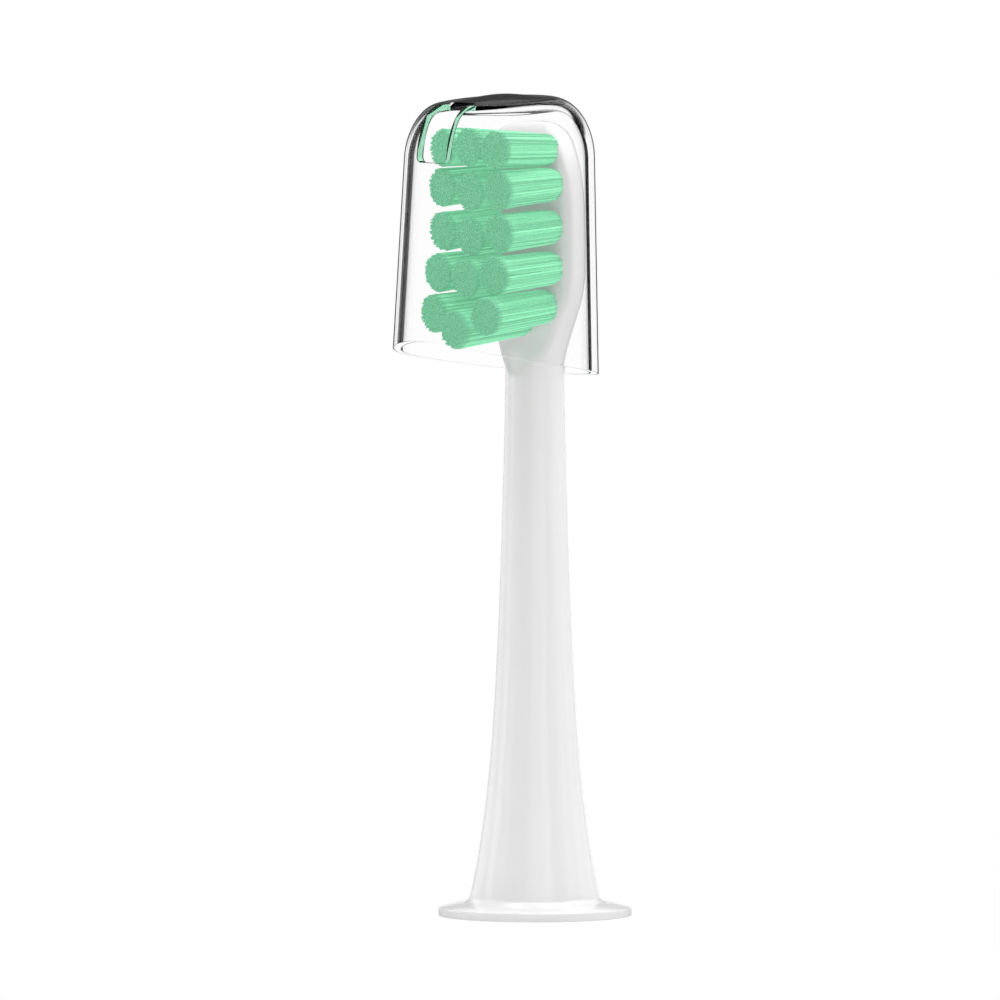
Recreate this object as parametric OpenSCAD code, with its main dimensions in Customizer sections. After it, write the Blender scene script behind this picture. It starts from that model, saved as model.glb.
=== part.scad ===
// Sonic toothbrush head with its travel cap, in millimetres.
// The origin is the centre of the drive socket's mouth, in the plane of the flange's underside.
// +Z runs up the neck to the head, and the bristles point along -Y.

/* [Body] */
// Height from the underside of the flange to the top of the head
body_h = 77.5; // [72:0.5:90]
// Length of the head above the middle of its top row of tufts
nose_l = 3; // [2.8:0.1:5]
// Length from the middle of the bottom row of tufts down to the round neck
heel_l = 7.4; // [6.5:0.1:10]
// Length of that stretch over which the face is still flat
heel_flat_l = 3.2; // [3:0.1:4]
// Plastic beside the outermost tuft holes, where the head is widest
head_side_t = 1.12; // [1:0.02:2]
// Length of the rounded upper part of the head, above its widest place
head_round_l = 12; // [10:0.5:14]
// Depth of the head's flat face ahead of the neck's axis
head_face_y = 1.65; // [1.4:0.05:2]
// Depth of the head's crowned back behind the neck's axis
head_back_y = 2.65; // [2.4:0.05:3]
// Length over which the head thins to its top edge
top_edge_l = 2.2; // [1.5:0.1:3]
// Diameter of the neck where it meets the head
neck_d = 5.84; // [5.4:0.1:6.4]
// Diameter of the skirt where it meets the flange
skirt_d = 12.76; // [12.2:0.1:14]
// Wall of the skirt round the hollow in its foot
skirt_wall = 1.2; // [0.9:0.1:1.6]
// Depth of the hollow between the skirt and the drive insert
hollow_depth = 12; // [8:0.5:13]
// Thickness of the ribs in the hollow
rib_t = 0.9; // [0.6:0.1:1.4]
// Height at which the ribs start
rib_start_z = 1.2; // [0.6:0.1:3]

/* [Flange] */
// Diameter of the flange
flange_d = 18.74; // [17.5:0.1:22]
// Thickness of the flange at its rim
flange_rim_t = 0.82; // [0.6:0.02:1.2]
// Height at which the flange's top turns up into the skirt
flange_root_t = 1.26; // [1.2:0.02:1.5]
// Height at which the skirt's own curve begins
skirt_start_z = 1.9; // [1.7:0.1:2.4]
// Width of the rounded corner between the flange and the skirt
flange_fillet_w = 1.1; // [0.6:0.1:1.6]
// Chamfer on the rim's edges
flange_edge = 0.15; // [0.05:0.05:0.25]

/* [Drive] */
// Diameter of the bore that takes the handle's drive shaft
shaft_bore_d = 4; // [3.4:0.1:4.4]
// Wall of the drive insert round its bore
insert_wall = 0.9; // [0.7:0.05:1.1]
// Length of the drive insert
insert_l = 16; // [14:0.5:19]
// Depth of the round part of the bore, from its mouth
round_bore_l = 7.5; // [5:0.5:8.5]
// How much smaller the radius of the bore's inner part is, past the round one
bore_step = 0.25; // [0.2:0.05:0.4]
// Distance of the inner part's flat from the axis
bore_flat_y = 1.3; // [1.1:0.05:1.5]
// Plastic left above the blind end of the bore
insert_end_t = 1.5; // [1:0.1:2]
// Clearance between the insert and the body
insert_fit = 0.03; // [0:0.01:0.06]
// Height of the barb that locks the insert in the body
barb_h = 0.2; // [0.1:0.05:0.3]
// Length of the barb
barb_l = 1.2; // [0.8:0.1:1.6]
// Depth of the pocket behind the flat that holds the spring
spring_pocket_depth = 0.55; // [0.45:0.05:0.6]
// Width of the spring leaf
spring_w = 2.4; // [1.8:0.1:2.6]
// Thickness of the spring leaf
spring_t = 0.25; // [0.15:0.05:0.25]
// How far the leaf bows towards the shaft
spring_bow = 0.35; // [0.2:0.05:0.4]

/* [Bristles] */
// Diameter of a full tuft just above the head's face
tuft_d = 3.3; // [2.6:0.05:3.6]
// How much wider a full tuft is at its cut end
tuft_flare = 0.5; // [0.2:0.1:0.8]
// How far the filaments fan out past the rim of their hole
tuft_fan = 0.25; // [0.15:0.05:0.4]
// Depth of the tuft holes
tuft_hole_depth = 2.2; // [1.8:0.1:2.2]
// Gap between the cut ends of two full rows
row_gap = 0.3; // [0.2:0.05:0.8]
// Gap between the cut ends of two full columns
column_gap = 0.2; // [0.1:0.05:0.5]
// Length of a tuft of the shortest row, from the head's face
tuft_l = 7; // [6:0.1:8.5]
// Clearance between a tuft's root and its hole
tuft_fit = 0.05; // [0.02:0.01:0.1]
// Thickness of the metal wafer that anchors a tuft
anchor_t = 0.25; // [0.15:0.05:0.4]
// Height of the wafer
anchor_h = 1.1; // [0.8:0.1:1.2]
// How far each end of the wafer bites into the plastic
anchor_bite = 0.15; // [0.05:0.05:0.2]
// Height of the folded filaments under the wafer
anchor_lift = 0.5; // [0.4:0.1:0.6]

/* [Cap] */
// Wall of the cap
cap_wall = 0.8; // [0.6:0.1:1.2]
// Length of the cap from the centre of its rim to the centre of its top
cap_l = 25.5; // [24:0.5:28]
// Room between the top of the head and the inside of the cap
cap_head_room = 1.1; // [0.8:0.1:2.5]
// How far the cap's axis lies ahead of the neck's axis, level with the head's widest place
cap_axis_y = 4.96; // [4.6:0.1:5.6]
// Clearance between the head's back edges and the inside of the cap
cap_fit = 0.2; // [0.15:0.05:0.3]
// Draft of the cap's wall, in degrees
cap_draft = 2.1; // [1:0.1:3]
// Lean of the cap's axis, in degrees
cap_lean = 1.4; // [0.5:0.1:2]
// Height of the rounded corner round the cap's top
cap_corner_h = 6.1; // [5:0.1:7]
// Width of the rounded corner round the cap's top
cap_corner_w = 4.5; // [3.5:0.1:5.5]
// Width of that corner at the front, where the vent slot crosses it
cap_front_corner_w = 2.5; // [2:0.1:4.5]
// Rise of the crown in the middle of the cap's top
cap_crown = 0.5; // [0.1:0.1:0.7]
// Slope of the rim, which is higher at the bristles' side
cap_rim_slope = 0.2; // [0:0.02:0.25]
// Slope of the top, which is lower at the bristles' side
cap_top_slope = 0.06; // [0:0.02:0.15]
// Width of the vent slot
vent_w = 4.2; // [3.6:0.2:5.2]
// Height of the slot's lower end below the top of the head
vent_drop = 4; // [3.2:0.1:7]
// Distance of the slot's upper end from the cap's axis
vent_reach = 4.4; // [2.5:0.1:4.8]
// Radius of the slot's corners
vent_corner_r = 0.6; // [0.3:0.1:1]

/* [Hidden] */
$fn = 72;

// Overrun of every cut past the face that it opens
overrun = 1;

// Tufts, row by row from the top of the head. Steps between rows, and the rise of each row's
// middle tuft, are shares of the pitch
ROWS = [0 : 4];
SIDES = [-1 : 1];
row_pitch = tuft_d + tuft_flare + row_gap;
column_pitch = tuft_d + tuft_flare + column_gap;
tuft_hole_d = tuft_d - 2 * tuft_fan;
row_place_shares = [0, 0.805, 1.805, 2.78, 3.683];
row_column_shares = [0.8125, 1, 1, 1, 0.8125];
row_middle_rise_shares = [0.1, -0.07, -0.1, -0.1, -0.34];
row_length_shares = [1.03, 1.01, 1, 1.09, 1.21];
row_middle_length_shares = [1.03, 1.01, 1, 1.09, 1.3];
row_girth_shares = [0.97, 1, 1, 1, 1];
row_flare_shares = [0.9, 1, 1, 1, 0.9];
row_lean_angles = [1.5, -3, -4, -4, -5];
row_splay_angles = [4, 0, 0, 0, 3];
// The root stays as wide as its hole up to the collar, and the tuft is full at the shoulder
tuft_collar_share = 0.06;
tuft_shoulder_share = 0.18;
// Turn of the anchors in the middle column and in the outer ones
middle_anchor_turn = 90;
side_anchor_turn = 45;

// Sizes and heights of the head
head_w = 2 * column_pitch + tuft_hole_d + 2 * head_side_t;
head_l = nose_l + row_place_shares[4] * row_pitch + heel_l;
face_ramp_l = heel_l - heel_flat_l;
head_start_z = body_h - head_l;
head_wide_z = body_h - head_round_l;

// Bulge of the head's outline, of its crowned back and of its flat face
outline_power = 2.6;
back_power = 2.2;
face_power = 7;
round_power = 2;
// How slowly the head starts to widen above the neck, and how soon it is at its full width
widen_start_power = 2.1;
widen_end_power = 4.6;

// Corners of one head section, and sections of the lower and upper part
section_corners = 40;
lower_sections = 14;
upper_sections = 12;
last_section_angle = 84;
skirt_points = 26;
corner_points = 6;
root_ring_share = 0.9;
root_depth_share = 0.25;
// The head's many-sided sections start just outside the round neck
root_growth_share = 1.006;
head_root_d = neck_d * root_growth_share;

// The skirt's curve mixes a steep flare at the foot with a long shallow taper
flare_mix_share = 0.5;
flare_power = 5.4;
taper_power = 1.3;

// Drive insert
insert_r = shaft_bore_d / 2 + insert_wall;
bore_end_z = insert_l - insert_end_t;
barb_z = insert_l - insert_end_t;
insert_end_gap = insert_fit * 4;
spring_inset = 0.1;
spring_start_z = round_bore_l + spring_w / 5;
spring_steps = 12;

// Cap
cap_top_z = body_h + cap_head_room + cap_wall + cap_crown;
cap_rim_z = cap_top_z - cap_crown - cap_l;
cap_corners = 48;
cap_corner_steps = 8;
cap_wall_steps = 3;
cap_pole_share = 0.08;
cap_crown_share = 0.75;
// How closely the front corner keeps to the front
cap_front_power = 3;

function mix(a, b, t) = a + (b - a) * t;
function smooth(t) = t < 0 ? 0 : t > 1 ? 1 : t * t * (3 - 2 * t);
function bent(a, b, c, t) = mix(mix(a, b, t), mix(b, c, t), t);

// Radius of the round skirt and neck at a height
function skirt_r(z) =
    let (t = (z - skirt_start_z) / (head_start_z - skirt_start_z),
         share = mix(pow(1 - t, taper_power), pow(1 - t, flare_power), flare_mix_share))
    mix(neck_d, skirt_d, share) / 2;

// Outline of the round part, from the flange's underside to the end of the neck
function round_outline() =
    let (r = flange_d / 2,
         fillet_start = [skirt_d / 2 + flange_fillet_w, flange_root_t],
         fillet_end = [skirt_d / 2, skirt_start_z],
         fillet_corner = [skirt_d / 2 + flange_edge, flange_root_t])
    concat(
        [[0, 0], [r - flange_edge, 0], [r, flange_edge],
         [r, flange_rim_t - flange_edge], [r - flange_edge, flange_rim_t]],
        [for (i = [0 : corner_points - 1])
            bent(fillet_start, fillet_corner, fillet_end, i / corner_points)],
        [for (i = [0 : skirt_points])
            let (t = i / skirt_points, z = mix(skirt_start_z, head_start_z, t * t))
            [skirt_r(z), z]],
        [[0, head_start_z]]);

// Point of a section with a bulge of its own on each side of the widest line
function bulged(angle, half_w, back, face, face_bulge, back_bulge) =
    let (c = cos(angle), s = sin(angle),
         power = s < 0 ? face_bulge : back_bulge,
         depth = s < 0 ? face : back)
    [half_w * sign(c) * pow(abs(c), 2 / power), depth * sign(s) * pow(abs(s), 2 / power)];

// Share of the way from the neck's width to the head's at a share of the lower length
function widening(t) = 1 - pow(1 - pow(t, widen_start_power), widen_end_power);

function head_section(z, half_w, thinning) =
    let (t = (z - head_start_z) / (head_wide_z - head_start_z),
         ramp = smooth((z - head_start_z) / face_ramp_l),
         face = mix(head_root_d / 2, head_face_y, ramp) * thinning,
         back = mix(head_root_d / 2, head_back_y, smooth(t)) * thinning,
         face_bulge = mix(round_power, face_power, ramp * ramp),
         back_bulge = mix(round_power, back_power, ramp))
    [for (i = [0 : section_corners - 1])
        let (p = bulged(i * 360 / section_corners, half_w, back, face, face_bulge, back_bulge))
        [p.x, p.y, z]];

function lower_section(i) =
    let (t = i / lower_sections,
         z = mix(head_start_z, head_wide_z, t))
    head_section(z, mix(head_root_d, head_w, widening(t)) / 2, 1);

// The upper sections follow a bulged arch, and thin together near its top
function upper_section(i) =
    let (a = last_section_angle * i / upper_sections,
         z = head_wide_z + head_round_l * pow(sin(a), 2 / outline_power),
         half_w = head_w / 2 * pow(cos(a), 2 / outline_power),
         edge = max(0, (z - (body_h - top_edge_l)) / top_edge_l))
    head_section(z, half_w, sqrt(max(0, 1 - edge * edge)));

function root_section() =
    [for (i = [0 : section_corners - 1])
        let (a = i * 360 / section_corners, r = root_ring_share * neck_d / 2)
        [r * cos(a), r * sin(a), head_start_z - root_depth_share * neck_d]];

// Closed solid through a list of rings that all have the same number of corners
module loft(rings) {
    n = len(rings[0]);
    last = len(rings) - 1;
    polyhedron(
        points = [for (ring = rings) each ring],
        faces = concat(
            [[for (i = [0 : n - 1]) i]],
            [for (k = [0 : last - 1], i = [0 : n - 1])
                let (j = (i + 1) % n)
                each [[k * n + i, (k + 1) * n + i, (k + 1) * n + j],
                      [k * n + i, (k + 1) * n + j, k * n + j]]],
            [[for (i = [n - 1 : -1 : 0]) last * n + i]]),
        convexity = 6);
}

// The flat top of the last section is closed by the loft itself
module head_blank() {
    loft(concat(
        [root_section()],
        [for (i = [0 : lower_sections]) lower_section(i)],
        [for (i = [1 : upper_sections]) upper_section(i)]));
}

// Places a child at a tuft's base, with the child's +Z along the tuft.
// The anchors of the two outer columns are turned in opposite ways.
module at_tuft(row, side) {
    $anchor_turn = side == 0 ? middle_anchor_turn : side * side_anchor_turn;
    rise = side == 0 ? row_middle_rise_shares[row] : 0;
    translate([
        side * column_pitch * row_column_shares[row],
        -head_face_y,
        body_h - nose_l - row_pitch * (row_place_shares[row] - rise)
    ])
    rotate([90 - row_lean_angles[row], 0, side * row_splay_angles[row]])
        children();
}

module each_tuft() {
    for (row = ROWS, side = SIDES) at_tuft(row, side) children();
}

module anchor_wafer() {
    translate([0, 0, anchor_lift + anchor_h / 2 - tuft_hole_depth])
        rotate([0, 0, $anchor_turn])
            cube([tuft_hole_d + 2 * anchor_bite, anchor_t, anchor_h], center = true);
}

module tuft(row, side) {
    root_r = tuft_hole_d / 2 - tuft_fit;
    base_r = row_girth_shares[row] * tuft_d / 2;
    tip_r = base_r + row_flare_shares[row] * tuft_flare / 2;
    length = tuft_l * (side == 0 ? row_middle_length_shares[row] : row_length_shares[row]);
    color([0.55, 0.91, 0.72])
    at_tuft(row, side)
    difference() {
        rotate_extrude()
            polygon([
                [0, -tuft_hole_depth], [root_r, -tuft_hole_depth],
                [root_r, tuft_collar_share * tuft_d], [base_r, tuft_shoulder_share * tuft_d],
                [tip_r, length], [0, length]
            ]);
        anchor_wafer();
    }
}

// Hollow in the skirt's foot, with four ribs left standing towards the insert
module foot_hollow() {
    mouth_r = skirt_d / 2 - skirt_wall;
    end_r = skirt_r(hollow_depth) - skirt_wall;
    difference() {
        rotate_extrude()
            polygon([
                [0, -overrun], [mouth_r, -overrun], [mouth_r, 0],
                [end_r, hollow_depth], [0, hollow_depth]
            ]);
        for (turn = [0, 90])
            rotate([0, 0, turn])
                translate([-skirt_d / 2, -rib_t / 2, rib_start_z])
                    cube([skirt_d, rib_t, hollow_depth]);
    }
}

// The insert's outer form, wider by a clearance and longer by a gap and a run past its mouth
module insert_form(clearance = 0, end_gap = 0, mouth_run = 0) {
    r = insert_r + clearance;
    rotate_extrude()
        polygon([
            [0, -mouth_run], [r, -mouth_run],
            [r, barb_z - barb_l], [r + barb_h, barb_z], [r, barb_z],
            [r, insert_l + end_gap], [0, insert_l + end_gap]
        ]);
}

module body() {
    color([0.96, 0.96, 0.96])
    difference() {
        union() {
            rotate_extrude() polygon(round_outline());
            head_blank();
        }
        foot_hollow();
        insert_form(insert_fit, insert_end_gap, overrun);
        each_tuft()
            translate([0, 0, -tuft_hole_depth])
                cylinder(h = tuft_hole_depth + overrun, d = tuft_hole_d);
        each_tuft() anchor_wafer();
    }
}

// Blind bore, round at its mouth, with a narrower D-shaped inner part
module drive_bore() {
    translate([0, 0, -overrun])
        cylinder(h = overrun + round_bore_l, d = shaft_bore_d);
    intersection() {
        cylinder(h = bore_end_z, r = shaft_bore_d / 2 - bore_step);
        translate([-shaft_bore_d / 2, -shaft_bore_d / 2, 0])
            cube([shaft_bore_d, shaft_bore_d / 2 + bore_flat_y, bore_end_z]);
    }
}

module spring_pocket() {
    translate([-spring_w / 2 - spring_inset / 2, 0, spring_start_z])
        cube([
            spring_w + spring_inset,
            bore_flat_y + spring_pocket_depth,
            bore_end_z - spring_start_z
        ]);
}

module drive_insert() {
    color([0.86, 0.86, 0.84])
    difference() {
        insert_form();
        drive_bore();
        spring_pocket();
    }
}

// Bowed leaf whose two ends rest against the back of the pocket
module shaft_spring() {
    from_z = spring_start_z + spring_inset;
    to_z = bore_end_z - spring_inset;
    back_y = bore_flat_y + spring_pocket_depth;
    function leaf_point(i, depth) =
        [back_y - depth - spring_bow * sin(180 * i / spring_steps),
         mix(from_z, to_z, i / spring_steps)];
    color([0.75, 0.76, 0.78])
    rotate([90, 0, 90])
        linear_extrude(height = spring_w, center = true)
            polygon(concat(
                [for (i = [0 : spring_steps]) leaf_point(i, 0)],
                [for (i = [spring_steps : -1 : 0]) leaf_point(i, spring_t)]));
}

module tuft_anchors() {
    color([0.85, 0.75, 0.5])
    each_tuft() anchor_wafer();
}

// Farthest that the head's widest section reaches from the cap's axis
head_reach = max([for (p = lower_section(lower_sections)) norm([p.x, p.y + cap_axis_y])]);

// Radius and height above the rim, from the rim to the top, of the cap's wall less an inset.
// The corner is tighter at the front than round the rest of the top
function cap_outline(inset, angle) =
    let (front = pow(max(0, -sin(angle)), cap_front_power),
         corner_w = mix(cap_corner_w, cap_front_corner_w, front) - inset,
         top_h = cap_l - inset,
         side_h = cap_l - cap_corner_h,
         hold_h = head_wide_z - cap_rim_z,
         hold_r = head_reach + cap_fit + cap_wall - inset,
         rim_r = hold_r + hold_h * tan(cap_draft),
         side_r = rim_r - side_h * tan(cap_draft),
         flat_r = side_r - corner_w)
    concat(
        [for (i = [0 : cap_wall_steps - 1])
            [mix(rim_r, side_r, i / cap_wall_steps), side_h * i / cap_wall_steps]],
        [for (i = [0 : cap_corner_steps])
            let (a = 90 * i / cap_corner_steps)
            [flat_r + corner_w * cos(a), mix(side_h, top_h, sin(a))]],
        [[flat_r / 2, top_h + cap_crown * cap_crown_share],
         [flat_r * cap_pole_share, top_h + cap_crown]]);

// Point of the cap at a place of its outline, tipped between the slope of the rim and that of the top
function cap_point(p, angle) =
    let (slope = mix(-cap_rim_slope, cap_top_slope, p.y / cap_l),
         axis_y = -cap_axis_y + (cap_rim_z + p.y - head_wide_z) * tan(cap_lean),
         y = p.x * sin(angle))
    [p.x * cos(angle), axis_y + y, cap_rim_z + p.y + slope * y];

// Rings of the cap's wall less an inset, from the rim to the top
function cap_rings(inset) =
    let (angles = [for (i = [0 : cap_corners - 1]) i * 360 / cap_corners],
         outlines = [for (angle = angles) cap_outline(inset, angle)])
    [for (k = [0 : len(outlines[0]) - 1])
        [for (i = [0 : cap_corners - 1]) cap_point(outlines[i][k], angles[i])]];

module rounded_bar(size) {
    offset(r = vent_corner_r)
        translate([vent_corner_r, vent_corner_r])
            square([size.x - 2 * vent_corner_r, size.y - 2 * vent_corner_r]);
}

// Slot that runs down the front of the cap and back along its top
module vent_cut() {
    run = 2 * head_w;
    intersection() {
        translate([-vent_w / 2, 0, body_h - vent_drop])
            rotate([90, 0, 0])
                linear_extrude(height = run) rounded_bar([vent_w, run]);
        translate([-vent_w / 2, -cap_axis_y - vent_reach - run, 0])
            linear_extrude(height = cap_top_z + overrun) rounded_bar([vent_w, run]);
    }
}

// The loft runs down the inside, across the rim and up the outside
module cap() {
    inside = cap_rings(cap_wall);
    color([0.8, 0.88, 0.92, 0.35])
    difference() {
        loft(concat(
            [for (k = [len(inside) - 1 : -1 : 0]) inside[k]],
            cap_rings(0)));
        vent_cut();
    }
}

body();
drive_insert();
shaft_spring();
tuft_anchors();
cap();
tuft(0, -1);  // tuft_1_left
tuft(0, 0);  // tuft_1_middle
tuft(0, 1);  // tuft_1_right
tuft(1, -1);  // tuft_2_left
tuft(1, 0);  // tuft_2_middle
tuft(1, 1);  // tuft_2_right
tuft(2, -1);  // tuft_3_left
tuft(2, 0);  // tuft_3_middle
tuft(2, 1);  // tuft_3_right
tuft(3, -1);  // tuft_4_left
tuft(3, 0);  // tuft_4_middle
tuft(3, 1);  // tuft_4_right
tuft(4, -1);  // tuft_5_left
tuft(4, 0);  // tuft_5_middle
tuft(4, 1);  // tuft_5_right
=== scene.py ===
"""Sonic toothbrush head under its clear travel cap, dressed for pictures. Lengths are in metres,
and sizes that the section gives in millimetres are multiplied by MM."""
import math
import random

import bmesh
import bpy
from mathutils import Matrix, Vector


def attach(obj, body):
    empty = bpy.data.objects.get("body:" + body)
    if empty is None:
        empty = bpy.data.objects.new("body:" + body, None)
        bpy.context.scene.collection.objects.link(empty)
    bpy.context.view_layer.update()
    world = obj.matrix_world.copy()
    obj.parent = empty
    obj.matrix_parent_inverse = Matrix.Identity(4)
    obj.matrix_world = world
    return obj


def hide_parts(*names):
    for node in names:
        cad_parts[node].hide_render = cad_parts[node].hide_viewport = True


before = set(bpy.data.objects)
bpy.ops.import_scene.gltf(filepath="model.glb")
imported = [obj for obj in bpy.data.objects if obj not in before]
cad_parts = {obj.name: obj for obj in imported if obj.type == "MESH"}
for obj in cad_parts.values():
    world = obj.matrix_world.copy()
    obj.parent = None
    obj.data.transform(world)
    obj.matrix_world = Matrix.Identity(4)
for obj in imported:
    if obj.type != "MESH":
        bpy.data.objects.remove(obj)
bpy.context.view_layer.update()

MM = 0.001

# ---------------------------------------------------------------------------------------------
# Body. One moulding in glossy white plastic: flange, hollow skirt with four ribs, round neck and
# flat head. The round part is turned about its axis, and the head is drawn up from the neck.

BODY_H, HEAD_START_Z, HEAD_WIDE_Z = 77.5, 52.0, 65.5
HEAD_HALF_W, FACE_Y, BACK_Y = 6.52, 1.65, 2.65
NECK_R, SKIRT_R, SKIRT_START_Z = 2.92, 6.38, 1.9
FLANGE_R, FLANGE_RIM_T, FLANGE_ROOT_T, FLANGE_EDGE_R = 9.37, 0.82, 1.26, 0.09
HOLLOW_MOUTH_R, HOLLOW_END_R, HOLLOW_DEPTH = 5.18, 3.42, 12.0
INSERT_SEAT_R, INSERT_SEAT_DEPTH = 2.93, 16.12
RIB_SIZE, RIB_MIDDLE, RIB_LOW_R, RIB_HIGH_R = (2.0, 0.9, 10.9), (3.93, 0, 6.65), 5.35, 3.6
HEAD_STEPS, TOP_STEPS, TOP_POWER, TOP_EDGE_H = 45, 40, 2.6, 2.2
TURN_STEPS = 144


def mixed(a, b, share):
    return a + (b - a) * share


def eased(share):
    share = min(max(share, 0), 1)
    return share * share * (3 - 2 * share)


def corner_curve(start, corner, end, steps):
    """Points of a rounded corner, without its last one."""
    points = []
    for i in range(steps):
        t = i / steps
        points.append([
            mixed(mixed(a, b, t), mixed(b, c, t), t) for a, b, c in zip(start, corner, end)
        ])
    return points


def skirt_radius(z):
    left = 1 - (z - SKIRT_START_Z) / (HEAD_START_Z - SKIRT_START_Z)
    return mixed(NECK_R, SKIRT_R, (left ** 1.3 + left ** 5.4) / 2)


def turned_outline():
    """Radius and height from the blind end of the insert's seat, out under the flange and up to
    the neck."""
    edge = FLANGE_EDGE_R
    dark_edge_reflection = [
        (0, INSERT_SEAT_DEPTH), (INSERT_SEAT_R, INSERT_SEAT_DEPTH), (INSERT_SEAT_R, HOLLOW_DEPTH)]
    dark_edge_reflection += corner_curve(
        (HOLLOW_END_R - 0.3, HOLLOW_DEPTH), (HOLLOW_END_R, HOLLOW_DEPTH),
        (HOLLOW_END_R + 0.05, HOLLOW_DEPTH - 0.4), 5)
    dark_edge_reflection += corner_curve(
        (HOLLOW_MOUTH_R - 0.06, 0.4), (HOLLOW_MOUTH_R, 0), (HOLLOW_MOUTH_R + 0.2, 0), 4)
    dark_edge_reflection += corner_curve((FLANGE_R - edge, 0), (FLANGE_R, 0), (FLANGE_R, edge), 5)
    dark_edge_reflection += corner_curve(
        (FLANGE_R, FLANGE_RIM_T - edge), (FLANGE_R, FLANGE_RIM_T),
        (FLANGE_R - edge, FLANGE_RIM_T + 0.01), 6)
    dark_edge_reflection += corner_curve(
        (SKIRT_R + 1.1, FLANGE_ROOT_T), (SKIRT_R + 0.15, FLANGE_ROOT_T), (SKIRT_R, SKIRT_START_Z), 14)
    for i in range(61):
        z = mixed(SKIRT_START_Z, HEAD_START_Z, (i / 60) ** 1.7)
        dark_edge_reflection.append((skirt_radius(z), z))
    return dark_edge_reflection


def head_point(turn, z, half_w, thinning):
    """Point of the head's section at a height: a flat face on the bristles' side and a crowned back."""
    ramp = eased((z - HEAD_START_Z) / 4.2)
    c, s = math.cos(turn), math.sin(turn)
    if s < 0:
        depth, bulge = mixed(NECK_R, FACE_Y, ramp), mixed(2, 7, ramp * ramp)
    else:
        depth = mixed(NECK_R, BACK_Y, eased((z - HEAD_START_Z) / (HEAD_WIDE_Z - HEAD_START_Z)))
        bulge = mixed(2, 2.2, ramp)
    reach = (abs(c) ** bulge + abs(s) ** bulge) ** (-1 / bulge)
    return Vector((half_w * reach * c, depth * thinning * reach * s, z)) * MM


def drawn_line(shape, points):
    """A line of edges, drawn on from its first point."""
    tip = shape.verts.new(points[0])
    for point in points[1:]:
        tip = bmesh.ops.extrude_vert_indiv(shape, verts=[tip])["verts"][0]
        tip.co = point


def next_ring(shape, ring, turns, place):
    """Draws a ring of edges on by one step, and puts each new corner where place says for its turn."""
    grown = bmesh.ops.extrude_edge_only(shape, edges=ring)["geom"]
    for corner in grown:
        if isinstance(corner, bmesh.types.BMVert):
            corner.co = place(corner[turns])
    return [e for e in grown if isinstance(e, bmesh.types.BMEdge) and e.is_boundary]


def piece(name, shape, body, finish, sharp=35):
    """Makes an object of a finished shape, which rides on a CAD body."""
    mesh = bpy.data.meshes.new(name)
    shape.to_mesh(mesh)
    shape.free()
    mesh.shade_smooth()
    mesh.set_sharp_from_angle(angle=math.radians(sharp))
    made = bpy.data.objects.new(name, mesh)
    bpy.context.scene.collection.objects.link(made)
    made.data.materials.append(finish)
    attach(made, body)
    return made


class Link:
    """An output in a material's node tree. Sums and products of values add their own Math nodes."""

    def __init__(self, tree, socket=None):
        self.tree, self.socket = tree, socket

    def add(self, kind, settings=None, values=None, out=0):
        """Adds a node: its settings first, then a value or a link for each named or numbered
        socket."""
        node = self.tree.nodes.new("ShaderNode" + kind)
        for name, value in (settings or {}).items():
            if name == "stops":
                stops = node.color_ramp.elements
                while len(stops) < len(value):
                    stops.new(1)
                for stop, (place, colour) in zip(stops, value):
                    stop.position, stop.color = place, colour
            else:
                setattr(node, name, value)
        for name, value in (values or {}).items():
            if isinstance(value, Link):
                self.tree.links.new(value.socket, node.inputs[name])
            else:
                node.inputs[name].default_value = value
        return Link(self.tree, node.outputs[out] if node.outputs else None)

    def maths(self, operation, *terms):
        return self.add("Math", {"operation": operation}, dict(enumerate(terms)))

    def __add__(self, other):
        return self.maths("ADD", self, other)

    def __radd__(self, other):
        return self.maths("ADD", other, self)

    def __sub__(self, other):
        return self.maths("SUBTRACT", self, other)

    def __rsub__(self, other):
        return self.maths("SUBTRACT", other, self)

    def __mul__(self, other):
        return self.maths("MULTIPLY", self, other)

    def __rmul__(self, other):
        return self.maths("MULTIPLY", other, self)


def new_material(name):
    made = bpy.data.materials.new(name)
    made.use_nodes = True
    made.node_tree.nodes.clear()
    return made, Link(made.node_tree)


def grain(link, where, size, detail=2.0, out=0):
    """Noise of about 0 to 1 whose lumps are size metres wide."""
    return link.add("TexNoise", {}, {"Vector": where, "Scale": 1 / size, "Detail": detail}, out)


def between(link, share, first, second):
    """Colour between two, by a share."""
    return link.add("Mix", {"data_type": "RGBA"}, {0: share, 6: first, 7: second}, 2)


def moulded_plastic(name, colour, shade_colour, roughness):
    """Gloss moulded plastic: the colour drifts a little, and the gloss has a faint polish grain
    and soft flow marks."""
    made, link = new_material(name)
    where = link.add("TexCoord", out=3)
    drift = grain(link, where, 14 * MM)
    polish = grain(link, where, 0.35 * MM, 3)
    flow = grain(link, where, 6 * MM, 1)
    bump = link.add("Bump", {}, {
        "Strength": 0.12, "Distance": 0.02 * MM, "Height": polish * 0.25 + flow})
    surface = link.add("BsdfPrincipled", {}, {
        "Base Color": between(link, drift, colour, shade_colour),
        "Roughness": roughness - 0.03 + polish * 0.06,
        "IOR": 1.49,
        "Coat Weight": 1.0,
        "Coat Roughness": 0.16,
        "Normal": bump,
    })
    link.add("OutputMaterial", {}, {"Surface": surface})
    return made


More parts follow.
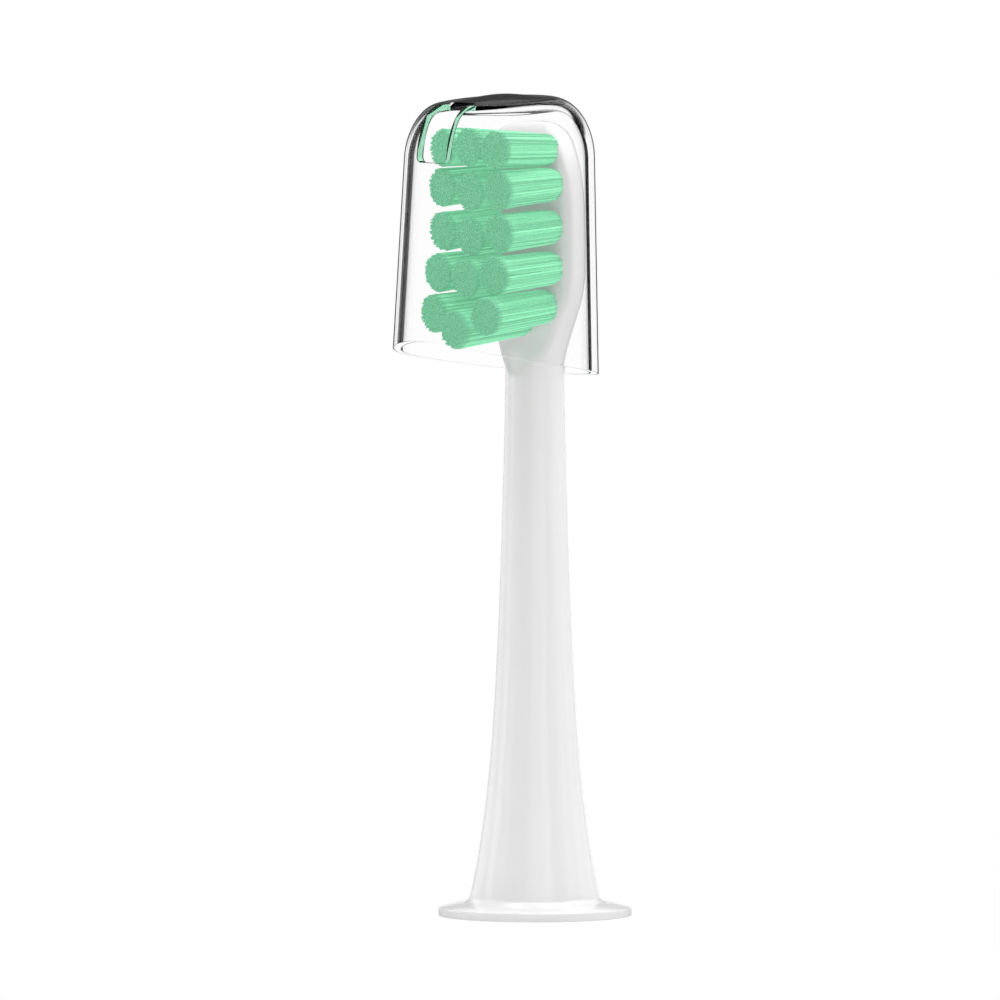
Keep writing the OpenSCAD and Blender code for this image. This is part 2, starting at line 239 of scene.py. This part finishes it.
shape = bmesh.new()
drawn_line(shape, [(r * MM, 0, z * MM) for r, z in turned_outline()])
bmesh.ops.spin(
    shape, geom=shape.verts[:] + shape.edges[:], axis=(0, 0, 1), cent=(0, 0, 0),
    steps=TURN_STEPS, angle=2 * math.pi, use_merge=True)
turns = shape.verts.layers.float.new("turn")
ring = [e for e in shape.edges if min(v.co.z for v in e.verts) > (HEAD_START_Z - 0.001) * MM]
for corner in {v for e in ring for v in e.verts}:
    corner[turns] = math.atan2(corner.co.y, corner.co.x)
for i in range(1, HEAD_STEPS + 1):
    t = i / HEAD_STEPS
    z = mixed(HEAD_START_Z, HEAD_WIDE_Z, t)
    half_w = mixed(NECK_R, HEAD_HALF_W, 1 - (1 - t ** 2.1) ** 4.6)
    ring = next_ring(shape, ring, turns, lambda turn: head_point(turn, z, half_w, 1))
for i in range(1, TOP_STEPS + 1):
    angle = math.radians(90) * i / TOP_STEPS
    z = mixed(HEAD_WIDE_Z, BODY_H, math.sin(angle) ** (2 / TOP_POWER))
    half_w = HEAD_HALF_W * max(math.cos(angle), 0) ** (2 / TOP_POWER)
    edge = max(0, (z - (BODY_H - TOP_EDGE_H)) / TOP_EDGE_H)
    thinning = math.sqrt(max(0, 1 - edge * edge))
    ring = next_ring(shape, ring, turns, lambda turn: head_point(turn, z, half_w, thinning))
bmesh.ops.remove_doubles(shape, verts=shape.verts[:], dist=1e-8)
shape.verts.layers.float.remove(turns)
bmesh.ops.recalc_face_normals(shape, faces=shape.faces[:])
for quarter in range(4):
    rib = bmesh.ops.create_cube(shape, size=1)["verts"]
    bmesh.ops.scale(shape, verts=rib, vec=[size * MM for size in RIB_SIZE])
    bmesh.ops.translate(shape, verts=rib, vec=[place * MM for place in RIB_MIDDLE])
    for corner in rib:
        if corner.co.x > RIB_MIDDLE[0] * MM:
            corner.co.x = (RIB_LOW_R if corner.co.z < RIB_MIDDLE[2] * MM else RIB_HIGH_R) * MM
    bmesh.ops.rotate(
        shape, verts=rib, cent=(0, 0, 0), matrix=Matrix.Rotation(quarter * math.pi / 2, 3, "Z"))

body = piece(
    "moulded_body", shape, "brush",
    moulded_plastic("gloss_white_plastic", (0.782, 0.775, 0.776, 1), (0.752, 0.745, 0.746, 1), 0.24))
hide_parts("body")

# ---------------------------------------------------------------------------------------------
# Drive insert. A turned-looking sleeve in hard natural plastic, pressed into the skirt's foot,
# with the bore for the handle's shaft. It is the CAD solid with its own finish.

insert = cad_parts["drive_insert"]
insert.data.materials.clear()
insert.data.materials.append(
    moulded_plastic("natural_acetal", (0.74, 0.73, 0.69, 1), (0.69, 0.68, 0.64, 1), 0.42))

# ---------------------------------------------------------------------------------------------
# Shaft spring. A leaf of rolled spring steel behind the flat of the bore, which grips the shaft.


def rolled_metal(name, colour, worn_colour, roughness, stretch):
    """Metal strip with fine lines along one direction, where the rolls ran."""
    made, link = new_material(name)
    where = link.add("Mapping", {}, {"Vector": link.add("TexCoord", out=3), "Scale": stretch})
    lines = grain(link, where, 0.05 * MM, 3)
    bump = link.add("Bump", {}, {"Strength": 0.2, "Distance": 0.005 * MM, "Height": lines})
    surface = link.add("BsdfPrincipled", {}, {
        "Base Color": between(link, lines, colour, worn_colour),
        "Metallic": 1.0,
        "Roughness": roughness + lines * 0.12,
        "Normal": bump,
    })
    link.add("OutputMaterial", {}, {"Surface": surface})
    return made


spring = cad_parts["shaft_spring"]
spring.data.materials.clear()
spring.data.materials.append(rolled_metal(
    "rolled_spring_steel", (0.56, 0.57, 0.59, 1), (0.44, 0.45, 0.47, 1), 0.26, (1, 1, 0.06)))

# ---------------------------------------------------------------------------------------------
# Tuft anchors. Small stamped brass wafers, driven into the holes over the folded filaments.

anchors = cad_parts["tuft_anchors"]
anchors.data.materials.clear()
anchors.data.materials.append(
    rolled_metal("stamped_brass", (0.78, 0.6, 0.3, 1), (0.66, 0.48, 0.22, 1), 0.3, (1, 0.06, 1)))

# ---------------------------------------------------------------------------------------------
# Tufts. Fifteen bundles of mint nylon filament in five rows of three. Each filament leaves its
# hole close to its neighbours, fans out to the bundle's full width, and ends in a trimmed tip.

ROW_PLACES = (0, 3.3, 7.4, 11.4, 15.1)
ROW_COLUMNS = (3.25, 4, 4, 4, 3.25)
ROW_MIDDLE_RISES = (0.15, -0.29, -0.41, -0.41, -1.39)
ROW_LENGTHS = (7.21, 7.07, 7.0, 7.63, 8.47)
ROW_MIDDLE_LENGTHS = (7.21, 7.07, 7.0, 7.63, 9.1)
ROW_LEANS = (1.5, -3, -4, -4, -5)
ROW_SPLAYS = (4, 0, 0, 0, 3)
HOLE_R, BASE_R, TIP_R = 1.42, 1.66, 1.9
FILAMENT_R, FILAMENTS = 0.09, 480
CORE_SHARE, CORE_DROP = 0.9, 0.1
RING_SHARES, TIP_SHARE = (-0.06, 0.03, 0.12, 0.5, 0.94, 1.0), 1.007
SEED_TURN, SEED_REACH, HOLE_SQUARENESS = 2.39996, 0.945, 2.6
SIDE_COLOURS = (0.098, 0.32, 0.185, 1), (0.238, 0.67, 0.4, 1)
# Tip colours are darker: painted shade on the cut ends and just below them.
TIP_SHADE_COLOURS = (0.105, 0.325, 0.193, 1), (0.15, 0.44, 0.262, 1)
# The glow share is a painted glow that lifts the tufts' shade.
BOUNCE_COLOUR, BOUNCE_SHARE, PAINTED_GLOW_SHARE = (0.37, 0.39, 0.38, 1), 0.85, 0.6


def filament_shape(sides):
    """One straight filament of unit length and width, with a softly rounded tip."""
    strand = bmesh.new()
    bmesh.ops.create_circle(strand, segments=sides, radius=1)
    ring = strand.edges[:]
    for low, high in zip(RING_SHARES, RING_SHARES[1:] + (TIP_SHARE,)):
        grown = bmesh.ops.extrude_edge_only(strand, edges=ring)["geom"]
        corners = [c for c in grown if isinstance(c, bmesh.types.BMVert)]
        bmesh.ops.translate(strand, verts=corners, vec=(0, 0, high - low))
        ring = [e for e in grown if isinstance(e, bmesh.types.BMEdge) and e.is_boundary]
    bmesh.ops.scale(strand, verts=corners, vec=(0.75, 0.75, 1))
    bmesh.ops.translate(strand, verts=strand.verts[:], vec=(0, 0, RING_SHARES[0]))
    bmesh.ops.contextual_create(strand, geom=ring)
    bmesh.ops.recalc_face_normals(strand, faces=strand.faces[:])
    made = bpy.data.meshes.new("filament")
    strand.to_mesh(made)
    strand.free()
    return made


def bundle_radius(share, girth, turn):
    """Radius of the bundle at a share of its length. Its section is a rounded square at the hole
    and round at the tips."""
    fan = mixed(HOLE_R, BASE_R * girth, eased((share + 0.02) / 0.08))
    power = HOLE_SQUARENESS
    square = (abs(math.cos(turn)) ** power + abs(math.sin(turn)) ** power) ** (-1 / power)
    return (fan + (TIP_R - BASE_R) * max(share, 0) * girth) * mixed(square, 1, max(share, 0))


def tuft_shape(filament, core, length, girth, seed):
    """Bundle of filaments along +Z, laid out like the seeds of a sunflower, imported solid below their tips."""
    chance = random.Random(seed)
    shape = bmesh.new()
    tones = shape.verts.layers.float.new("tone")
    reaches = shape.verts.layers.float.new("reach")
    shape.from_mesh(core)
    for corner in shape.verts:
        share = corner.co.z
        corner[tones], corner[reaches] = 0.5, share
        turn = math.atan2(corner.co.y, corner.co.x)
        corner.co *= bundle_radius(share, girth, turn) * CORE_SHARE * MM
        corner.co.z = (share * length - CORE_DROP) * MM
    for i in range(FILAMENTS):
        place = math.sqrt((i + 0.5) / FILAMENTS) * SEED_REACH
        turn = i * SEED_TURN + chance.uniform(-0.12, 0.12)
        place *= 1 + chance.uniform(-0.03, 0.03)
        tone = chance.random()
        own_length = length * (1 + chance.gauss(0, 0.004))
        sway, sway_turn = chance.gauss(0, 0.05), chance.uniform(0, 2 * math.pi)
        twist = chance.gauss(0, 0.02)
        count = len(shape.verts)
        shape.from_mesh(filament)
        shape.verts.ensure_lookup_table()
        for corner in shape.verts[count:]:
            share = corner.co.z
            bend = turn + twist * share
            reach = bundle_radius(share, girth, bend) * place
            middle = Vector((
                reach * math.cos(bend) + sway * share * share * math.cos(sway_turn),
                reach * math.sin(bend) + sway * share * share * math.sin(sway_turn),
                own_length * share))
            corner[tones], corner[reaches] = tone, share
            corner.co = (middle + Vector((corner.co.x, corner.co.y, 0)) * FILAMENT_R) * MM
    return shape


def stored(link, name):
    """Value that the mesh holds under a name."""
    return link.add("Attribute", {"attribute_name": name}, out=2)


def rays(link, *names):
    """What is known of the light's path under each name: its kind, as 1 or 0, or its depth."""
    outputs = link.add("LightPath").socket.node.outputs
    return [Link(link.tree, outputs[name]) for name in names]


def ranged(link, value, start, end, low=0.0, high=1.0, smooth=False):
    """How far a value has come from start to end, as a number from low to high."""
    settings = {"interpolation_type": "SMOOTHSTEP"} if smooth else {}
    return link.add("MapRange", settings, {
        "Value": value, "From Min": start, "From Max": end, "To Min": low, "To Max": high})


def filament_nylon():
    """Dyed nylon: each filament has a tone of its own, and the tips are duller and painted darker, as shade on
    the cut ends and where the filaments crowd near them.
    A painted glow in its own colour lifts their shade between and under the tufts, and stands in part for light
    that spreads inside the filaments. To light that bounces off them they are nearly grey, so that the white
    head takes on less of their colour."""
    made, link = new_material("mint_nylon_filament")
    where = link.add("TexCoord", out=3)
    tone, reach = stored(link, "tone"), stored(link, "reach")
    tip = ranged(link, reach, 0.9, 1.0, smooth=True)
    side = between(link, tone * 0.7 + grain(link, where, 0.3 * MM) * 0.3, *SIDE_COLOURS)
    # Painted shade: the tips take darker colours towards their ends.
    tip_painted_shade = between(link, tone * 0.5 + grain(link, where, 0.12 * MM) * 0.5, *TIP_SHADE_COLOURS)
    bump = link.add("Bump", {}, {
        "Strength": 0.3, "Distance": 0.01 * MM, "Height": grain(link, where, 0.08 * MM)})
    bounced, = rays(link, "Is Diffuse Ray")
    colour = between(link, bounced * BOUNCE_SHARE, between(link, tip, side, tip_painted_shade), BOUNCE_COLOUR)
    skin = link.add("BsdfPrincipled", {}, {
        "Base Color": colour,
        "Emission Color": colour,
        # Painted glow: the emission lifts the filaments' shade, though they are no lamp.
        "Emission Strength": PAINTED_GLOW_SHARE,
        "Roughness": 0.34 + tip * 0.25,
        "IOR": 1.53,
        "Normal": bump,
    })
    link.add("OutputMaterial", {}, {"Surface": skin})
    return made


nylon = filament_nylon()
filament, core = filament_shape(5), filament_shape(32)
for row in range(5):
    for side, column in ((-1, "left"), (0, "middle"), (1, "right")):
        middle = side == 0
        length = (ROW_MIDDLE_LENGTHS if middle else ROW_LENGTHS)[row]
        rise = ROW_MIDDLE_RISES[row] if middle else 0
        shape = tuft_shape(filament, core, length, 0.97 if row == 0 else 1, 10 * row + side + 1)
        lean = Matrix.Rotation(math.radians(90 - ROW_LEANS[row]), 4, "X")
        splay = Matrix.Rotation(math.radians(side * ROW_SPLAYS[row]), 4, "Z")
        place = Vector((side * ROW_COLUMNS[row], -FACE_Y, BODY_H - 3 - ROW_PLACES[row] + rise)) * MM
        bmesh.ops.transform(shape, verts=shape.verts[:], matrix=Matrix.Translation(place) @ splay @ lean)
        tuft = piece(f"filaments_{row + 1}_{column}", shape, "brush", nylon, 50)
        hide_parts(f"tuft_{row + 1}_{column}")
for blank in (filament, core):
    bpy.data.meshes.remove(blank)

# ---------------------------------------------------------------------------------------------
# Travel cap. A clear moulded shell that hugs the head's back edges, open below. Its slanted rim
# arches up at the front, and a flat-ended vent slot runs from its front over its top.

CAP_L, CAP_RIM_Z, CAP_WALL, CAP_CROWN = 25.5, 53.9, 0.87, 0.5
CAP_HOLD_R, CAP_AXIS_Y = 9.55, 4.92
CAP_CORNER_H, CAP_CORNER_W, CAP_FRONT_CORNER_W = 6.1, 4.5, 2.5
CAP_DRAFT, CAP_LEAN = math.tan(math.radians(2.1)), math.tan(math.radians(1.4))
RIM_SLOPE, RIM_LIFT, RIM_ARCH, TOP_SLOPE = -0.155, 0.05, 0.85, 0.06
CAP_SIDE_STEPS, CAP_CORNER_STEPS, CAP_TOP_STEPS = 24, 32, 14
VENT_W, VENT_LOW_Z, VENT_END_Y, VENT_CORNER_R, VENT_RUN = 4.2, 73.5, -9.36, 0.6, 12
RIM_FACING, RIM_REACH, VENT_FACING, MERGE_DIST = 0.8, 4, 0.5, 0.01
PLASTIC = {"Color": (0.995, 0.995, 0.995, 1), "Roughness": 0.0, "IOR": 1.49}
# A dark diffuse is painted on the cap's edges and level top: a painted reflection of a dim room.
GLOSS_RANGE, DARK_TOP_REFLECTION_RANGE, DARK_TOP_REFLECTION_EXTRA = (0.1, 0.32), (0.96, 0.98), 0.1
DARK_EDGE_REFLECTION_RANGE, DARK_EDGE_REFLECTION_SHARE, DARK_EDGE_REFLECTION_COLOUR = (0.84, 0.86), 0.9, (0.02, 0.02, 0.02, 1)
MATT_RANGE, MATT_SHARES = (0.3, 0.4), (0.95, 0.05)
# The rim's pale and the vent walls' mint are painted light: light caught in the clear edge, and a painted
# reflection of the tufts.
RIM_EDGE_LIGHT_COLOUR, VENT_REFLECTION_COLOUR = (0.93, 0.95, 0.94, 1), (0.36, 0.71, 0.51, 1)


def cap_point(turn, step, inset):
    """Point of the cap's wall, less an inset, at a turn and a step from the rim to the middle of the top.
    The corner is tighter at the front than round the rest of the top."""
    ahead = max(0, -math.sin(turn))
    corner_w = mixed(CAP_CORNER_W, CAP_FRONT_CORNER_W, ahead ** 3) - inset
    top_h, side_h = CAP_L - inset, CAP_L - CAP_CORNER_H
    rim_r = CAP_HOLD_R - inset + (HEAD_WIDE_Z - CAP_RIM_Z) * CAP_DRAFT
    side_r = rim_r - side_h * CAP_DRAFT
    flat_r = side_r - corner_w
    if step < CAP_SIDE_STEPS:
        share = step / CAP_SIDE_STEPS
        radius, height = mixed(rim_r, side_r, share), side_h * share
    elif step < CAP_SIDE_STEPS + CAP_CORNER_STEPS:
        angle = math.radians(90) * (step - CAP_SIDE_STEPS) / CAP_CORNER_STEPS
        radius, height = flat_r + corner_w * math.cos(angle), mixed(side_h, top_h, math.sin(angle))
    else:
        share = 1 - (step - CAP_SIDE_STEPS - CAP_CORNER_STEPS) / CAP_TOP_STEPS
        radius, height = flat_r * share, top_h + CAP_CROWN * (1 - share * share) ** 2
    rise = height / CAP_L
    axis_y = (CAP_RIM_Z + height - HEAD_WIDE_Z) * CAP_LEAN - CAP_AXIS_Y
    y = radius * math.sin(turn)
    lift = (RIM_LIFT + RIM_ARCH * ahead ** 4) * (1 - rise)
    z = CAP_RIM_Z + height + lift + mixed(RIM_SLOPE, TOP_SLOPE, rise) * y
    return Vector((radius * math.cos(turn), axis_y + y, z)) * MM


shape = bmesh.new()
cap_steps = range(CAP_SIDE_STEPS + CAP_CORNER_STEPS + CAP_TOP_STEPS + 1)
turns = shape.verts.layers.float.new("turn")
bmesh.ops.create_circle(shape, segments=TURN_STEPS, radius=1)
for corner in shape.verts:
    corner[turns] = math.atan2(corner.co.y, corner.co.x)
    corner.co = cap_point(corner[turns], cap_steps[-1], CAP_WALL)
ring = shape.edges[:]
for step, inset in [(step, CAP_WALL) for step in cap_steps[-2::-1]] + [(step, 0) for step in cap_steps]:
    ring = next_ring(shape, ring, turns, lambda turn: cap_point(turn, step, inset))
bmesh.ops.remove_doubles(shape, verts=shape.verts[:], dist=1e-8)
shape.verts.layers.float.remove(turns)
bmesh.ops.recalc_face_normals(shape, faces=shape.faces[:])

cutter = bmesh.new()
bmesh.ops.create_cube(cutter, size=1)
bmesh.ops.scale(cutter, verts=cutter.verts[:], vec=Vector((VENT_W, VENT_RUN, VENT_RUN)) * MM)
bmesh.ops.translate(
    cutter, verts=cutter.verts[:],
    vec=Vector((0, VENT_END_Y - VENT_RUN / 2, VENT_LOW_Z + VENT_RUN / 2)) * MM)
ends = []
for edge in cutter.edges:
    places = [c.co / MM for c in edge.verts]
    if all(abs(p.z - VENT_LOW_Z) < MERGE_DIST for p in places) and abs(places[0].y - places[1].y) > 1:
        ends.append(edge)
    if all(abs(p.y - VENT_END_Y) < MERGE_DIST for p in places) and abs(places[0].z - places[1].z) > 1:
        ends.append(edge)
bmesh.ops.bevel(
    cutter, geom=ends, offset=VENT_CORNER_R * MM, segments=6, profile=0.5, affect="EDGES", material=-1)
bmesh.ops.recalc_face_normals(cutter, faces=cutter.faces[:])
cutter_mesh = bpy.data.meshes.new("vent_cutter")
cutter.to_mesh(cutter_mesh)
cutter.free()
vent_cutter = bpy.data.objects.new("vent_cutter", cutter_mesh)
shell_mesh = bpy.data.meshes.new("shell_blank")
shape.to_mesh(shell_mesh)
shape.free()
shell_blank = bpy.data.objects.new("shell_blank", shell_mesh)
for blank in (vent_cutter, shell_blank):
    bpy.context.scene.collection.objects.link(blank)
    blank.data.materials.append(None)
    blank.data.materials.append(None)
for face in cutter_mesh.polygons:
    face.material_index = 1
vent = shell_blank.modifiers.new("vent", "BOOLEAN")
vent.object, vent.operation = vent_cutter, "DIFFERENCE"
vent.solver, vent.use_hole_tolerant = "EXACT", True
shape = bmesh.new()
shape.from_object(shell_blank, bpy.context.evaluated_depsgraph_get())
bmesh.ops.remove_doubles(shape, verts=shape.verts[:], dist=MERGE_DIST * MM)
bmesh.ops.dissolve_degenerate(shape, dist=MERGE_DIST * MM, edges=shape.edges[:])
cuts = shape.faces.layers.float.new("cut")
# The vent's side walls are marked for a painted reflection of the tufts.
vent_reflections = shape.faces.layers.float.new("tint")
outside = shape.verts.layers.float.new("outside")
middle = Vector((0, -CAP_AXIS_Y, CAP_RIM_Z + CAP_L / 2)) * MM
for face in shape.faces:
    place = face.calc_center_median()
    at_rim = face.normal.z < -RIM_FACING and place.z < (CAP_RIM_Z + RIM_REACH) * MM
    at_vent = face.material_index == 1 and abs(face.normal.x) > VENT_FACING
    face[cuts], face[vent_reflections], face.material_index = at_rim or at_vent, at_vent, 0
for corner in shape.verts:
    skins = [face for face in corner.link_faces if not face[cuts]]
    corner[outside] = any(face.normal.dot(corner.co - middle) > 0 for face in skins)
for blank in (vent_cutter, shell_blank):
    bpy.data.objects.remove(blank)


def clear_plastic():
    """Clear moulded plastic that bends what is seen through it and mirrors only at a slant. Its edges seen on
    are painted dark, a painted reflection of a dim room, and this starts sooner on its level top. The rim's
    face is painted matt and pale, standing for light caught in the clear edge, and the slot's side walls are
    painted matt mint, a painted reflection of the tufts. Both are clear next to the skins. Shadows and soft
    light pass it."""
    made, link = new_material("clear_moulded_plastic")
    slant = link.add("Fresnel", {}, {"IOR": PLASTIC["IOR"]})
    clear = link.add("MixShader", {}, {
        0: ranged(link, slant, *GLOSS_RANGE),
        1: link.add("BsdfRefraction", {}, PLASTIC),
        2: link.add("BsdfGlass", {}, PLASTIC)})
    # Painted reflection: the dark diffuse darkens the edges seen on and the level top.
    facing = link.add("LayerWeight", {}, {"Blend": 0.5}, 1)
    level = link.add("SeparateXYZ", {}, {0: link.add("NewGeometry", out=1)}, 2)
    top = ranged(link, level, *DARK_TOP_REFLECTION_RANGE, high=DARK_TOP_REFLECTION_EXTRA)
    dark_edge_reflection = ranged(link, facing + top, *DARK_EDGE_REFLECTION_RANGE, high=DARK_EDGE_REFLECTION_SHARE)
    dark = link.add("BsdfDiffuse", {}, {"Color": DARK_EDGE_REFLECTION_COLOUR})
    clear = link.add("MixShader", {}, {0: dark_edge_reflection, 1: clear, 2: dark})
    cut, tint, outside = (stored(link, name) for name in ("cut", "tint", "outside"))
    # Painted light: matt pale on the rim's face and matt mint on the slot's walls, in place of clear plastic.
    matt = link.add("BsdfDiffuse", {}, {"Color": between(link, tint, RIM_EDGE_LIGHT_COLOUR, VENT_REFLECTION_COLOUR)})
    depth = link.maths("ABSOLUTE", outside - 0.5)
    clear = link.add("MixShader", {}, {
        0: cut * ranged(link, depth, *MATT_RANGE, *MATT_SHARES), 1: clear, 2: matt})
    open_air = link.add("BsdfTransparent", {}, {"Color": (1, 1, 1, 1)})
    passed = link.maths("MAXIMUM", *rays(link, "Is Shadow Ray", "Is Diffuse Ray"))
    surface = link.add("MixShader", {}, {0: passed, 1: clear, 2: open_air})
    link.add("OutputMaterial", {}, {"Surface": surface})
    return made


cap = piece("travel_cap", shape, "cap_shell", clear_plastic(), 30)
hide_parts("cap")

# ---------------------------------------------------------------------------------------------
# Studio. A white floor that keeps a faint shadow, a white surround, and soft lamps on stands.


CAMERA_TURN, CAMERA_RISE = math.radians(47), math.radians(3.4)
to_camera = Vector((math.sin(CAMERA_TURN), -math.cos(CAMERA_TURN), 0))
to_right = Vector((math.cos(CAMERA_TURN), math.sin(CAMERA_TURN), 0))
BACKDROP_TURN, BACKDROP_HALF, BACKDROP_EDGE = math.radians(5), 28.5, 1
BACKDROP_TOP, PANEL_LOW, ROOM_FADE = (5, 10), (20, 25), (37, 50)
ROOM_LEVEL, ROOM_DIM, ROOM_LIFT, SOFT_LEVEL = 0.5, 0.495, 0.16, 0.51
SHADOW_FROM, SHADOW_TO, SHADOW_SHARE = 8, 60, 0.86


def by_lens(link):
    """1 where a thing is seen straight, mirrored or through clear plastic, and 0 for soft light."""
    camera, mirrored, through = rays(link, "Is Camera Ray", "Is Glossy Ray", "Is Transmission Ray")
    return link.maths("MAXIMUM", link.maths("MAXIMUM", camera, mirrored), through)


def surround(link, way, soft):
    """How bright the studio is in a direction. What is seen straight or through clear plastic is white.
    What is seen mirrored is a white backdrop behind the head, a white panel above and a dim room round
    them, and soft light has its own level."""
    seen = by_lens(link)
    depths = rays(link, "Glossy Depth", "Transmission Depth")
    mirrors, passes = (link.maths("MINIMUM", depth, 1.0) for depth in depths)
    way = link.add("VectorMath", {"operation": "NORMALIZE"}, {0: way})
    right = link.add("VectorMath", {"operation": "DOT_PRODUCT"}, {0: way, 1: to_right}, 1)
    behind = link.add("VectorMath", {"operation": "DOT_PRODUCT"}, {0: way, 1: -to_camera}, 1)
    rise = link.maths("ARCSINE", link.add("SeparateXYZ", {}, {0: way}, 2))
    aside = link.maths("ABSOLUTE", link.maths("ARCTAN2", right, behind) - BACKDROP_TURN)

    def edge(value, start, end):
        return ranged(link, value, math.radians(start), math.radians(end), smooth=True)

    level = 1 - edge(rise, *BACKDROP_TOP)
    outer = edge(aside, BACKDROP_HALF - BACKDROP_EDGE, BACKDROP_HALF + BACKDROP_EDGE)
    bright = link.maths("MAXIMUM", (1 - outer) * level, edge(rise, *PANEL_LOW))
    room = ROOM_LEVEL - passes * (ROOM_DIM - edge(aside, *ROOM_FADE) * level * ROOM_LIFT)
    return seen * (1 - mirrors * (1 - bright) * (1 - room)), (1 - seen) * soft


floor_shape = bmesh.new()
bmesh.ops.create_grid(floor_shape, x_segments=1, y_segments=1, size=6)
bmesh.ops.translate(floor_shape, verts=floor_shape.verts[:], vec=(0, 0, -0.02 * MM))
floor_mesh = bpy.data.meshes.new("studio_floor")
floor_shape.to_mesh(floor_mesh)
floor_shape.free()
floor = bpy.data.objects.new("studio_floor", floor_mesh)
bpy.context.scene.collection.objects.link(floor)
floor_paint, link = new_material("white_floor")
where = link.add("TexCoord", out=3)
white, _ = surround(link, where, 0)
away = link.add("VectorMath", {"operation": "LENGTH"}, {0: where}, 1)
near = ranged(link, away, SHADOW_FROM * MM, SHADOW_TO * MM, SHADOW_SHARE, 1.0, smooth=True)
paint = link.add("BsdfDiffuse", {}, {"Color": (0.9, 0.9, 0.9, 1)})
glow = link.add("Emission", {}, {"Color": (1, 1, 1, 1), "Strength": white})
lit = link.add("MixShader", {}, {0: by_lens(link) * near, 1: paint, 2: glow})
under = link.add("NewGeometry", out=6)
surface = link.add("MixShader", {}, {0: under, 1: lit, 2: link.add("BsdfTransparent")})
link.add("OutputMaterial", {}, {"Surface": surface})
floor.data.materials.append(floor_paint)

world = bpy.data.worlds.new("studio_surround")
world.use_nodes = True
world.node_tree.nodes.clear()
link = Link(world.node_tree)
white, soft = surround(link, link.add("TexCoord", out=0), SOFT_LEVEL)
air = link.add("Background", {}, {"Color": (1, 1, 1, 1), "Strength": white + soft})
link.add("OutputWorld", {}, {"Surface": air})
bpy.context.scene.world = world


def soft_box(name, turn, rise, away, width, height, glow):
    """A flat lamp that faces the head, at a turn to the camera's right and a rise, in degrees.
    Glow is its brightness."""
    turn, rise = math.radians(turn), math.radians(rise)
    level_way = to_camera * math.cos(turn) + to_right * math.sin(turn)
    way = level_way * math.cos(rise) + Vector((0, 0, math.sin(rise)))
    lamp = bpy.data.lights.new(name, "AREA")
    lamp.shape, lamp.size, lamp.size_y = "RECTANGLE", width, height
    lamp.energy = glow * math.pi * width * height
    made = bpy.data.objects.new(name, lamp)
    made.location = Vector((0, 0, 0.04)) + way * away
    made.rotation_euler = way.to_track_quat("Z", "Y").to_euler()
    made.visible_camera = made.visible_transmission = False
    bpy.context.scene.collection.objects.link(made)


for lamp in (
    ("front_left_strip", 0, 8, 0.6, 0.22, 0.5, 0.62),
    ("front_right_strip", 24, 8, 0.6, 0.22, 0.5, 0.72),
    ("right_front_strip", 75, 8, 0.6, 0.22, 0.5, 0.4),
    ("right_strip", 104, 8, 0.6, 0.22, 0.5, 0.5),
    ("right_back_strip", 130, 8, 0.6, 0.22, 0.5, 0.45),
    ("left_front_strip", -70, 8, 0.6, 0.22, 0.5, 0.35),
    ("left_strip", -95, 8, 0.6, 0.22, 0.5, 0.95),
    ("left_back_strip", -130, 8, 0.6, 0.4, 0.5, 0.65),
    ("right_top_box", 100, 45, 0.6, 0.35, 0.35, 1.5),
    ("left_top_box", -90, 45, 0.6, 0.35, 0.35, 0.6),
    ("top_box", 0, 86, 0.6, 0.5, 0.5, 3.5),
    ("head_box", 85, 35, 0.14, 0.05, 0.05, 2.4),
):
    soft_box(*lamp)

LENS_AWAY, VIEW_W, SENSOR_W = 2.4, 0.09709, 36
VIEW_RIGHT, VIEW_UP = -3.398, 40.29
lens = bpy.data.cameras.new("long_lens")
back = to_camera * math.cos(CAMERA_RISE) + Vector((0, 0, math.sin(CAMERA_RISE)))
up = back.cross(to_right)
lens.sensor_width, lens.lens = SENSOR_W, SENSOR_W * LENS_AWAY / VIEW_W
lens.clip_start, lens.clip_end = 0.05, 30
camera = bpy.data.objects.new("long_lens", lens)
place = to_right * VIEW_RIGHT * MM + up * VIEW_UP * MM + back * LENS_AWAY
turned = Matrix((to_right, up, back)).transposed().to_4x4()
camera.matrix_world = Matrix.Translation(place) @ turned
bpy.context.scene.collection.objects.link(camera)
bpy.context.scene.camera = camera
bpy.context.scene.view_settings.view_transform = "Standard"
